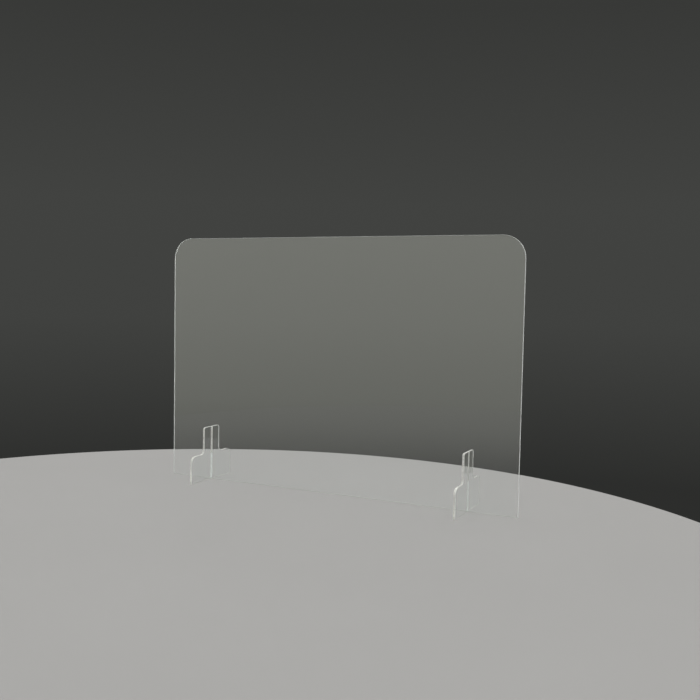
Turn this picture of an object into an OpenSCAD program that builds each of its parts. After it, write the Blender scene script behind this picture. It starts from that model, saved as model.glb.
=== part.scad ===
// Clear desk privacy panel that stands on two slotted feet.
//
// All three pieces are flat sheets. Each foot has a slot from its top edge down, and the
// panel has a notch over each foot from its bottom edge up. The two cross like the dividers
// of a crate: the foot keeps the panel upright and the panel keeps the foot square.
// Nothing is glued or screwed, so the panel lifts straight out of its feet.
//
// Origin: middle of the panel's bottom edge, on the desk.
// +X runs along the panel, +Y to its rear and +Z up.

/* [Panel] */
// Width of the panel
panel_w = 900; // [500:10:1600]
// Height of the panel above the desk
panel_h = 600; // [300:10:1000]
// Thickness of the panel's sheet
panel_t = 5; // [3:0.5:10]
// Radius of the panel's two top corners
panel_corner_r = 50; // [1:1:150]

/* [Feet] */
// Distance from the panel's side edge to the middle of each foot
foot_inset = 114; // [20:1:240]
// Thickness of the feet's sheet
foot_t = 5; // [3:0.5:10]
// Depth of a foot on the desk, front to back
foot_d = 170; // [140:1:300]
// Height of a foot, to the top of its neck
foot_h = 132; // [110:1:200]
// Width of the neck that clasps the panel, front to back
neck_w = 65; // [30:1:110]
// Radius of the neck's two top corners
neck_corner_r = 6; // [1:0.5:14]
// Radius of the hollow curve from the neck out to the shoulder
shoulder_fillet_r = 12; // [1:1:30]
// Radius of the shoulder's outer corners
shoulder_corner_r = 16; // [1:1:30]

/* [Crossed joint] */
// Play of a sheet in the slot that takes it, both sides together
slot_play = 0.3; // [0.1:0.1:1]
// Height left free between a foot's slot and the panel's notch
joint_gap = 1; // [0.2:0.1:3]

/* [Hidden] */

$fn = 96;
// The feet stand this far to each side of the panel's middle
foot_x = panel_w / 2 - foot_inset;
// The foot's shoulder and the crossed joint are both at half of its height
shoulder_h = foot_h / 2;
foot_slot_floor = foot_h / 2 - joint_gap / 2;
panel_notch_top = foot_h / 2 + joint_gap / 2;
foot_slot_w = panel_t + slot_play;
panel_notch_w = foot_t + slot_play;
// Cuts run this far past the edge that they start from
overrun = 1;
SIDES = [-1, 1];

// Upright plate on the X axis, w wide and h high, with its two top corners at radius r
module round_top_plate(w, h, r) {
    translate([-w / 2, 0])
        square([w, h - r]);
    translate([r - w / 2, 0])
        square([w - 2 * r, h]);
    for (side = SIDES)
        translate([side * (w / 2 - r), h - r])
            circle(r);
}

// Web that fills an inside corner at the origin, opening towards +X and +Y, to radius r
module corner_web(r) {
    difference() {
        square(r);
        translate([r, r])
            circle(r);
    }
}

// Slot of width w on the X axis, from z_low to z_high
module slot(w, z_low, z_high) {
    translate([-w / 2, z_low])
        square([w, z_high - z_low]);
}

module panel_outline() {
    difference() {
        round_top_plate(panel_w, panel_h, panel_corner_r);
        for (side = SIDES)
            translate([side * foot_x, 0])
                slot(panel_notch_w, -overrun, panel_notch_top);
    }
}

// Inverted T: a broad base with round shoulders and a narrower neck split by the slot
module foot_outline() {
    difference() {
        union() {
            round_top_plate(foot_d, shoulder_h, shoulder_corner_r);
            round_top_plate(neck_w, foot_h, neck_corner_r);
            for (side = SIDES)
                mirror([side < 0 ? 1 : 0, 0])
                    translate([neck_w / 2, shoulder_h])
                        corner_web(shoulder_fillet_r);
        }
        slot(foot_slot_w, foot_slot_floor, foot_h + overrun);
    }
}

// Sheet that stands across the panel, its outline facing +X
module foot() {
    rotate([90, 0, 90])
        linear_extrude(foot_t, center = true)
            foot_outline();
}

module panel() {
    color([0.86, 0.90, 0.89, 0.45])
        rotate([90, 0, 0])
            linear_extrude(panel_t, center = true)
                panel_outline();
}

module left_foot() {
    color([0.80, 0.87, 0.86, 0.7])
        translate([-foot_x, 0, 0])
            foot();
}

module right_foot() {
    color([0.80, 0.87, 0.86, 0.7])
        translate([foot_x, 0, 0])
            foot();
}

panel();
left_foot();
right_foot();
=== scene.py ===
"""Looks of the desk privacy panel: one clear acrylic sheet held upright by two slotted clear feet.

Units are metres. The frame is the CAD's: origin in the middle of the panel's bottom edge,
+X along the panel, +Y to its rear, +Z up.
"""
import math

import bmesh
import bpy
from mathutils import Matrix, Vector


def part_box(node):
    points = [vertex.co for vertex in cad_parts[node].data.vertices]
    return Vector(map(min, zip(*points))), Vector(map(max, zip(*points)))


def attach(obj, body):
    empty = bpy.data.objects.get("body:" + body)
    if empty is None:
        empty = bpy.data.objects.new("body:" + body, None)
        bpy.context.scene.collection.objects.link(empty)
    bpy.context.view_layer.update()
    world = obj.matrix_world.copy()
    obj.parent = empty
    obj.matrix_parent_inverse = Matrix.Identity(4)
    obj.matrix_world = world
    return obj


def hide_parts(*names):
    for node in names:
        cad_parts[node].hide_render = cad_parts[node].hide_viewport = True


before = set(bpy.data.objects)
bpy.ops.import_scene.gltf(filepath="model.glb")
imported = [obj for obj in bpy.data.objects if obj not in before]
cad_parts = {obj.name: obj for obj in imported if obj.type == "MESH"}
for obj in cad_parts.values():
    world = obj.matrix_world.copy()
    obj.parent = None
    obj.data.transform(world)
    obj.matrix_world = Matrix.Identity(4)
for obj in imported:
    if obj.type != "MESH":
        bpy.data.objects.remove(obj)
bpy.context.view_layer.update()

# Sizes that the CAD boxes don't hold
PANEL_CORNER_R = 0.050
NECK_W = 0.065
NECK_CORNER_R = 0.006
SHOULDER_FILLET_R = 0.012
SHOULDER_CORNER_R = 0.016
SLOT_PLAY = 0.0003
JOINT_GAP = 0.001
# The sharp arris of a cut sheet is broken by a scraper to this radius
ARRIS_R = 0.0004
ARRIS_STEPS = 3
# The longest chord on a round stretch, and the fewest chords on one
ARC_STEP = 0.0009
ARC_STEPS_MIN = 6
# An outline that turns by more than this in one point has a sharp corner there
SHARP_TURN = math.radians(20)


# ---------------------------------------------------------------- outlines

def arc(centre, radius, start, end):
    """Points on an arc from angle start to angle end, in degrees, both ends included."""
    turn = math.radians(end - start)
    steps = max(ARC_STEPS_MIN, math.ceil(abs(turn) * radius / ARC_STEP))
    angles = [math.radians(start) + turn * i / steps for i in range(steps + 1)]
    return [(centre[0] + radius * math.cos(a), centre[1] + radius * math.sin(a)) for a in angles]


def mirrored(points):
    """The same points on the other side of the vertical axis, walked the other way."""
    return [(-x, y) for x, y in reversed(points)]


def panel_outline(width, height, notch_w, notch_h, foot_x):
    """The panel seen from its front: counter-clockwise from the middle of the bottom edge."""
    half = width / 2
    notch = [
        (foot_x - notch_w / 2, 0),
        (foot_x - notch_w / 2, notch_h),
        (foot_x + notch_w / 2, notch_h),
        (foot_x + notch_w / 2, 0),
    ]
    corner = arc((half - PANEL_CORNER_R, height - PANEL_CORNER_R), PANEL_CORNER_R, 0, 90)
    right = [*notch, (half, 0), *corner]
    return right + mirrored(right)


def foot_outline(depth, height, slot_w, slot_floor):
    """A foot seen from its side: an inverted T with a slot down from its top edge."""
    base_half, neck_half, shoulder = depth / 2, NECK_W / 2, height / 2
    r_out, r_in, r_top = SHOULDER_CORNER_R, SHOULDER_FILLET_R, NECK_CORNER_R
    right = [
        (base_half, 0),
        *arc((base_half - r_out, shoulder - r_out), r_out, 0, 90),
        *arc((neck_half + r_in, shoulder + r_in), r_in, 270, 180),
        *arc((neck_half - r_top, height - r_top), r_top, 0, 90),
        (slot_w / 2, height),
        (slot_w / 2, slot_floor),
    ]
    return right + mirrored(right)


def directions_at(outline, i):
    """The directions in which the closed outline comes to point i and leaves it."""
    here = Vector(outline[i])
    before = (here - Vector(outline[i - 1])).normalized()
    after = (Vector(outline[(i + 1) % len(outline)]) - here).normalized()
    return before, after


def inset(outline, distance):
    """The closed outline moved inwards by distance, corner by corner."""
    moved = []
    for i, point in enumerate(outline):
        before, after = directions_at(outline, i)
        inward = Vector((-before.y, before.x))
        normal = (inward + Vector((-after.y, after.x))).normalized()
        moved.append(Vector(point) + normal * distance / normal.dot(inward))
    return moved


# ---------------------------------------------------------------- cut sheet

def edge_profile(thickness):
    """Points across a cut edge, each as (how far in from the outline, place through the sheet)."""
    quarter = [math.radians(90 * i / ARRIS_STEPS) for i in range(ARRIS_STEPS + 1)]
    front = [(ARRIS_R * (1 - math.sin(a)), thickness / 2 - ARRIS_R * (1 - math.cos(a))) for a in quarter]
    return front + [(back, -through) for back, through in reversed(front)]


def running_length(points):
    """The length walked from the first point to each point."""
    lengths = [0.0]
    for start, end in zip(points, points[1:]):
        lengths.append(lengths[-1] + (Vector(end) - Vector(start)).length)
    return lengths


def add_cut_edge(maker, rings, along, across, uv_layer):
    """The faces of the cut edge, between one ring of points and the next."""
    count = len(rings[0])
    for level, (upper, lower) in enumerate(zip(rings, rings[1:])):
        for i in range(count):
            j = (i + 1) % count
            face = maker.faces.new([upper[i], lower[i], lower[j], upper[j]])
            face.smooth = True
            face.material_index = 1
            uvs = [
                (along[i], across[level]),
                (along[i], across[level + 1]),
                (along[i + 1], across[level + 1]),
                (along[i + 1], across[level]),
            ]
            for loop, uv in zip(face.loops, uvs):
                loop[uv_layer].uv = uv


def add_flat_face(maker, ring, uv_layer):
    """One polished side of the sheet."""
    face = maker.faces.new(ring)
    face.material_index = 0
    for loop in face.loops:
        loop[uv_layer].uv = loop.vert.co.xy


def mark_sharp_edges(maker, rings, outline):
    """Keeps the shading of the faces, the cut edge and each sharp corner of the outline apart."""
    count = len(outline)
    for ring in (rings[0], rings[-1]):
        for i in range(count):
            maker.edges.get((ring[i], ring[(i + 1) % count])).smooth = False
    for i in range(count):
        before, after = directions_at(outline, i)
        if before.angle(after) > SHARP_TURN:
            for upper, lower in zip(rings, rings[1:]):
                maker.edges.get((upper[i], lower[i])).smooth = False


def cut_sheet(name, outline, thickness, place, face_material, edge_material):
    """A flat sheet with the outline, its cut edge square but for a small round arris on each side.

    place is the matrix from (outline x, outline y, through the sheet) to the row frame.
    The UV map holds metres: along and across the cut on the edge, the outline's own on the faces.
    """
    profile = edge_profile(thickness)
    maker = bmesh.new()
    uv_layer = maker.loops.layers.uv.new("cut")
    rings = []
    for back, through in profile:
        rings.append([maker.verts.new((p.x, p.y, through)) for p in inset(outline, back)])
    add_cut_edge(maker, rings, running_length([*outline, outline[0]]), running_length(profile), uv_layer)
    add_flat_face(maker, rings[0], uv_layer)
    add_flat_face(maker, list(reversed(rings[-1])), uv_layer)
    mark_sharp_edges(maker, rings, outline)
    maker.transform(place)
    maker.normal_update()
    mesh = bpy.data.meshes.new(name)
    maker.to_mesh(mesh)
    maker.free()
    mesh.materials.append(face_material)
    mesh.materials.append(edge_material)
    piece = bpy.data.objects.new(name, mesh)
    bpy.context.scene.collection.objects.link(piece)
    return piece


# ---------------------------------------------------------------- materials

ACRYLIC_IOR = 1.49
# Polished faces: how fine the tint, the gloss and the slow waves are, per metre
FACE_TINT_SCALE = 3.0
FACE_GLOSS_SCALE = 9.0
FACE_WAVE_SCALE = 5.0
FACE_WAVE_H = 0.00006
FACE_ROUGHNESS = (0.008, 0.022)
# Cut edges: cutter lines and slower bands, as how many per metre along the edge, across it, and 1
CUTTER_LINES = (2600, 90, 1)
CUTTER_BANDS = (180, 20, 1)
CUTTER_LINE_DEPTH = 0.00008
CUTTER_LINE_STRENGTH = 0.6
EDGE_ROUGHNESS = (0.22, 0.40)
# Each pair is the two tones that a surface drifts between
PANEL_FACE_TINTS = ((0.985, 0.995, 0.990, 1), (0.975, 0.988, 0.982, 1))
PANEL_EDGE_TINTS = ((0.90, 0.93, 0.92, 1), (0.96, 0.98, 0.97, 1))
FOOT_FACE_TINTS = ((0.980, 0.993, 0.988, 1), (0.970, 0.985, 0.980, 1))
FOOT_EDGE_TINTS = ((0.89, 0.885, 0.865, 1), (0.94, 0.935, 0.915, 1))
# The share of light that a cut edge lets through
PANEL_EDGE_CLARITY = 0.6
FOOT_EDGE_CLARITY = 0.7
# The bottom edge, where it stands on the desk: painted contact shade, a darker grey
CONTACT_SHADE_TONE = (0.30, 0.31, 0.29, 1)
# Noise lies mostly between these two values
NOISE_LOW = 0.3
NOISE_HIGH = 0.7


class Nodes:
    """Short hand for building one material's node tree."""

    def __init__(self, tree):
        self.tree = tree
        tree.nodes.clear()

    def add(self, kind, inputs=None, **settings):
        node = self.tree.nodes.new(kind)
        for key, value in settings.items():
            setattr(node, key, value)
        for key, value in (inputs or {}).items():
            if isinstance(value, bpy.types.NodeSocket):
                self.tree.links.new(value, node.inputs[key])
            else:
                node.inputs[key].default_value = value
        return node

    def noise(self, coords, scale, detail=2.0, stretch=(1, 1, 1)):
        mapping = self.add("ShaderNodeMapping", {"Vector": coords, "Scale": stretch})
        inputs = {"Vector": mapping.outputs[0], "Scale": scale, "Detail": detail}
        return self.add("ShaderNodeTexNoise", inputs).outputs["Fac"]

    def mixed(self, factor, a, b, blend_type="MIX"):
        inputs = {"Factor": factor, "A": a, "B": b}
        return self.add("ShaderNodeMix", inputs, data_type="RGBA", blend_type=blend_type).outputs["Result"]

    def between(self, value, low, high, out_low, out_high):
        """value taken from the range low to high into the range out_low to out_high, held at the ends."""
        inputs = {"Value": value, "From Min": low, "From Max": high, "To Min": out_low, "To Max": out_high}
        return self.add("ShaderNodeMapRange", inputs, clamp=True).outputs[0]


def new_material(name):
    material = bpy.data.materials.new(name)
    material.use_nodes = True
    return material, Nodes(material.node_tree)


def clear_face(name, tints):
    """Polished cast acrylic: almost colourless, with a slow waviness and uneven gloss."""
    material, n = new_material(name)
    coords = n.add("ShaderNodeTexCoord").outputs["Object"]
    tint = n.mixed(n.noise(coords, FACE_TINT_SCALE), *tints)
    gloss = n.noise(coords, FACE_GLOSS_SCALE, detail=4.0)
    wave = n.noise(coords, FACE_WAVE_SCALE, detail=1.0)
    bump = n.add("ShaderNodeBump", {"Height": wave, "Strength": 1.0, "Distance": FACE_WAVE_H})
    shader = n.add("ShaderNodeBsdfPrincipled", {
        "Base Color": tint,
        "Roughness": n.between(gloss, NOISE_LOW, NOISE_HIGH, *FACE_ROUGHNESS),
        "IOR": ACRYLIC_IOR,
        "Transmission Weight": 1.0,
        "Normal": bump.outputs[0],
    })
    n.add("ShaderNodeOutputMaterial", {"Surface": shader.outputs[0]})
    return material


def cut_edge(name, tints, clarity):
    """The cut edge of the sheet: satin, with the fine lines that the cutter leaves across the thickness.

    The bottom edge, where it stands on the desk, is painted greyer: a painted contact shade.
    """
    material, n = new_material(name)
    coords = n.add("ShaderNodeUVMap", uv_map="cut").outputs[0]
    height = n.add("ShaderNodeSeparateXYZ", {0: n.add("ShaderNodeTexCoord").outputs["Object"]}).outputs["Z"]
    lines = n.noise(coords, 1.0, detail=3.0, stretch=CUTTER_LINES)
    bands = n.noise(coords, 1.0, detail=2.0, stretch=CUTTER_BANDS)
    unshaded_edge_tone = n.mixed(bands, *tints)
    grooves = {"Height": lines, "Strength": CUTTER_LINE_STRENGTH, "Distance": CUTTER_LINE_DEPTH}
    bump = n.add("ShaderNodeBump", grooves)
    # Painted contact shade: the lowest ARRIS_R of every cut edge turns dark grey where it meets the desk
    shader = n.add("ShaderNodeBsdfPrincipled", {
        "Base Color": n.mixed(n.between(height, 0, ARRIS_R, 1, 0), unshaded_edge_tone, CONTACT_SHADE_TONE),
        "Roughness": n.between(lines, NOISE_LOW, NOISE_HIGH, *EDGE_ROUGHNESS),
        "IOR": ACRYLIC_IOR,
        "Transmission Weight": clarity,
        "Normal": bump.outputs[0],
    })
    n.add("ShaderNodeOutputMaterial", {"Surface": shader.outputs[0]})
    return material


panel_face = clear_face("panel_acrylic_face", PANEL_FACE_TINTS)
panel_edge = cut_edge("panel_acrylic_edge", PANEL_EDGE_TINTS, PANEL_EDGE_CLARITY)
foot_face = clear_face("foot_acrylic_face", FOOT_FACE_TINTS)
foot_edge = cut_edge("foot_acrylic_edge", FOOT_EDGE_TINTS, FOOT_EDGE_CLARITY)

# ---------------------------------------------------------------- pieces

# From (outline x, outline y, through the sheet) to the row frame, for a sheet square to Y and to X
ACROSS_Y = Matrix(((1, 0, 0, 0), (0, 0, -1, 0), (0, 1, 0, 0), (0, 0, 0, 1)))
ACROSS_X = Matrix(((0, 0, 1, 0), (1, 0, 0, 0), (0, 1, 0, 0), (0, 0, 0, 1)))

panel_low, panel_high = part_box("panel")
panel_size = panel_high - panel_low
foot_boxes = {name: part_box(name) for name in ("left_foot", "right_foot")}
foot_low, foot_high = foot_boxes["right_foot"]
foot_size = foot_high - foot_low


def panel_piece():
    foot_x = (foot_low.x + foot_high.x) / 2
    notch_h = foot_size.z / 2 + JOINT_GAP / 2
    outline = panel_outline(panel_size.x, panel_size.z, foot_size.x + SLOT_PLAY, notch_h, foot_x)
    panel = cut_sheet("panel_sheet", outline, panel_size.y, ACROSS_Y, panel_face, panel_edge)
    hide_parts("panel")
    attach(panel, "panel")


def foot_piece(name, low, high):
    place = Matrix.Translation(((low.x + high.x) / 2, 0, 0)) @ ACROSS_X
    slot_floor = foot_size.z / 2 - JOINT_GAP / 2
    outline = foot_outline(foot_size.y, foot_size.z, panel_size.y + SLOT_PLAY, slot_floor)
    foot = cut_sheet(name + "_sheet", outline, foot_size.x, place, foot_face, foot_edge)
    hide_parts(name)
    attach(foot, name)


panel_piece()
for foot_name, (low, high) in foot_boxes.items():
    foot_piece(foot_name, low, high)

# ---------------------------------------------------------------- stage

FLOOR_R = 1.1
FLOOR_Y = -0.6
FLOOR_DROP = 0.0002
FLOOR_SEGMENTS = 256
FLOOR_TONE_SCALE = 2.0
FLOOR_ROUGHNESS = 0.9
FLOOR_TONES = ((0.355, 0.35, 0.34, 1), (0.375, 0.37, 0.36, 1))


def floor_material():
    material, n = new_material("pale_floor")
    place = n.add("ShaderNodeTexCoord").outputs["Object"]
    tone = n.mixed(n.noise(place, FLOOR_TONE_SCALE), *FLOOR_TONES)
    inputs = {"Base Color": tone, "Roughness": FLOOR_ROUGHNESS, "Specular IOR Level": 0.0}
    matt = n.add("ShaderNodeBsdfPrincipled", inputs)
    n.add("ShaderNodeOutputMaterial", {"Surface": matt.outputs[0]})
    return material


def round_floor():
    maker = bmesh.new()
    bmesh.ops.create_circle(maker, cap_ends=True, radius=FLOOR_R, segments=FLOOR_SEGMENTS)
    mesh = bpy.data.meshes.new("floor")
    maker.to_mesh(mesh)
    maker.free()
    floor = bpy.data.objects.new("floor", mesh)
    floor.location = (0, FLOOR_Y, -FLOOR_DROP)
    bpy.context.scene.collection.objects.link(floor)
    mesh.materials.append(floor_material())


# Each pair is the height of a direction, as its sine, and the light that comes from there
BACKDROP = ((-0.20, 0.026), (-0.11, 0.040), (-0.03, 0.052), (0.10, 0.054), (0.30, 0.040))
# Painted reflection veil: light added to the backdrop only where it is seen through a clear sheet
PAINTED_VEIL = ((-0.26, 0.0), (-0.20, 0.017), (-0.17, 0.045), (-0.15, 0.061), (-0.12, 0.074), (0.06, 0.075))
ROOM_FRONT = ((-0.20, 0.34), (-0.13, 0.36), (0.0, 0.58), (0.30, 1.1), (0.60, 1.5))
ROOM_REAR = ((-0.30, 0.45), (-0.16, 0.10), (0.15, 0.10), (0.35, 0.5), (0.60, 1.2))
AMBIENT_FRONT = ((-0.2, 0.45), (0.1, 0.45), (1.0, 1.1))
AMBIENT_REAR = ((-0.2, 1.9), (0.1, 1.9), (1.0, 0.8))
BACKDROP_TINT = (1.0, 1.03, 0.97)
ROOM_TINT = (1.0, 1.01, 0.90)
NO_TINT = (1, 1, 1)
# Where the light turns from its front to its rear values, as the Y of a direction
ROOM_TURN = (0.55, 0.85)
AMBIENT_TURN = (-0.5, 0.5)


def height_ramp(n, height, stops, tint):
    """Light by the height of the direction, from a list of stops."""
    low, high = stops[0][0], stops[-1][0]
    ramp = n.add("ShaderNodeValToRGB", {"Fac": n.between(height, low, high, 0, 1)})
    elements = ramp.color_ramp.elements
    while len(elements) < len(stops):
        elements.new(0.5)
    for element, (place, light) in zip(elements, stops):
        element.position = (place - low) / (high - low)
        element.color = [light * share for share in tint] + [1]
    return ramp.outputs[0]


def studio_world():
    """A dark backdrop for the camera, and a bright soft room for light and reflections.

    The room is bright in front of the panel and overhead, and dark low down behind it. Where the
    backdrop is seen through a clear sheet it is painted brighter, a painted reflection veil on the sheet.
    """
    world = bpy.data.worlds.new("studio")
    bpy.context.scene.world = world
    world.use_nodes = True
    world.cycles.sampling_method = "NONE"
    n = Nodes(world.node_tree)
    direction = n.add("ShaderNodeSeparateXYZ", {0: n.add("ShaderNodeTexCoord").outputs["Generated"]}).outputs
    height = direction["Z"]
    path = n.add("ShaderNodeLightPath").outputs
    through_sheet = n.between(path["Transmission Depth"], 0, 1, 0, 1)
    mirrored_light = n.between(path["Glossy Depth"], 0, 1, 0, 1)
    scattered_light = n.between(path["Diffuse Depth"], 0, 1, 0, 1)
    backdrop = height_ramp(n, height, BACKDROP, BACKDROP_TINT)
    # Painted reflection veil: the backdrop is lit up only for rays that have passed through a sheet
    backdrop_with_painted_veil = n.mixed(through_sheet, backdrop, height_ramp(n, height, PAINTED_VEIL, ROOM_TINT), "ADD")
    front = height_ramp(n, height, ROOM_FRONT, ROOM_TINT)
    rear = height_ramp(n, height, ROOM_REAR, ROOM_TINT)
    room = n.mixed(n.between(direction["Y"], *ROOM_TURN, 0, 1), front, rear)
    ambient_front = height_ramp(n, height, AMBIENT_FRONT, NO_TINT)
    ambient_rear = height_ramp(n, height, AMBIENT_REAR, NO_TINT)
    ambient = n.mixed(n.between(direction["Y"], *AMBIENT_TURN, 0, 1), ambient_front, ambient_rear)
    seen = n.mixed(mirrored_light, backdrop_with_painted_veil, room)
    colour = n.mixed(scattered_light, seen, ambient)
    shader = n.add("ShaderNodeBackground", {"Color": colour, "Strength": 1.0})
    n.add("ShaderNodeOutputWorld", {"Surface": shader.outputs[0]})


OVERHEAD_PLACE = (0, -0.3, 2.4)
OVERHEAD_TARGET = (0, -0.1, 0)
OVERHEAD_SIZE = (2.4, 2.0)
OVERHEAD_WATTS = 6.5


def soft_light(name, place, target, size, power):
    data = bpy.data.lights.new(name, "AREA")
    data.shape = "RECTANGLE"
    data.size, data.size_y = size
    data.energy = power
    light = bpy.data.objects.new(name, data)
    light.location = place
    light.rotation_euler = (Vector(target) - Vector(place)).to_track_quat("-Z", "Y").to_euler()
    light.visible_camera = False
    bpy.context.scene.collection.objects.link(light)


round_floor()
studio_world()
soft_light("overhead", OVERHEAD_PLACE, OVERHEAD_TARGET, OVERHEAD_SIZE, OVERHEAD_WATTS)

# ---------------------------------------------------------------- camera

CAMERA_PLACE = Vector((0.9219, -1.8155, 0.4702))
CAMERA_AZIMUTH = math.radians(25.76)
CAMERA_PITCH = math.radians(3.69)
CAMERA_ROLL = math.radians(1.06)
SENSOR_MM = 36.0
LENS_MM = 45.08


def camera_axes():
    """The camera's right, up and forward directions."""
    level = math.cos(CAMERA_PITCH)
    forward = Vector((
        -math.sin(CAMERA_AZIMUTH) * level,
        math.cos(CAMERA_AZIMUTH) * level,
        -math.sin(CAMERA_PITCH),
    ))
    level_right = forward.cross(Vector((0, 0, 1))).normalized()
    level_up = level_right.cross(forward)
    right = level_right * math.cos(CAMERA_ROLL) + level_up * math.sin(CAMERA_ROLL)
    up = level_up * math.cos(CAMERA_ROLL) - level_right * math.sin(CAMERA_ROLL)
    return right, up, forward


def place_camera():
    right, up, forward = camera_axes()
    data = bpy.data.cameras.new("camera")
    data.lens = LENS_MM
    data.sensor_width = SENSOR_MM
    camera = bpy.data.objects.new("camera", data)
    turn = Matrix((right, up, -forward)).transposed().to_4x4()
    camera.matrix_world = Matrix.Translation(CAMERA_PLACE) @ turn
    bpy.context.scene.collection.objects.link(camera)
    bpy.context.scene.camera = camera


place_camera()

# ---------------------------------------------------------------- light paths

# Light runs a long way inside the sheets before it leaves by a cut edge
SHEET_BOUNCES = 300
DIFFUSE_BOUNCES = 8

scene = bpy.context.scene
scene.view_settings.view_transform = "Standard"
scene.cycles.max_bounces = SHEET_BOUNCES
scene.cycles.transmission_bounces = SHEET_BOUNCES
scene.cycles.glossy_bounces = SHEET_BOUNCES
scene.cycles.diffuse_bounces = DIFFUSE_BOUNCES
# Light that reaches the floor through the clear sheets is traced whole, so they cast no false shadow
scene.cycles.blur_glossy = 0.0
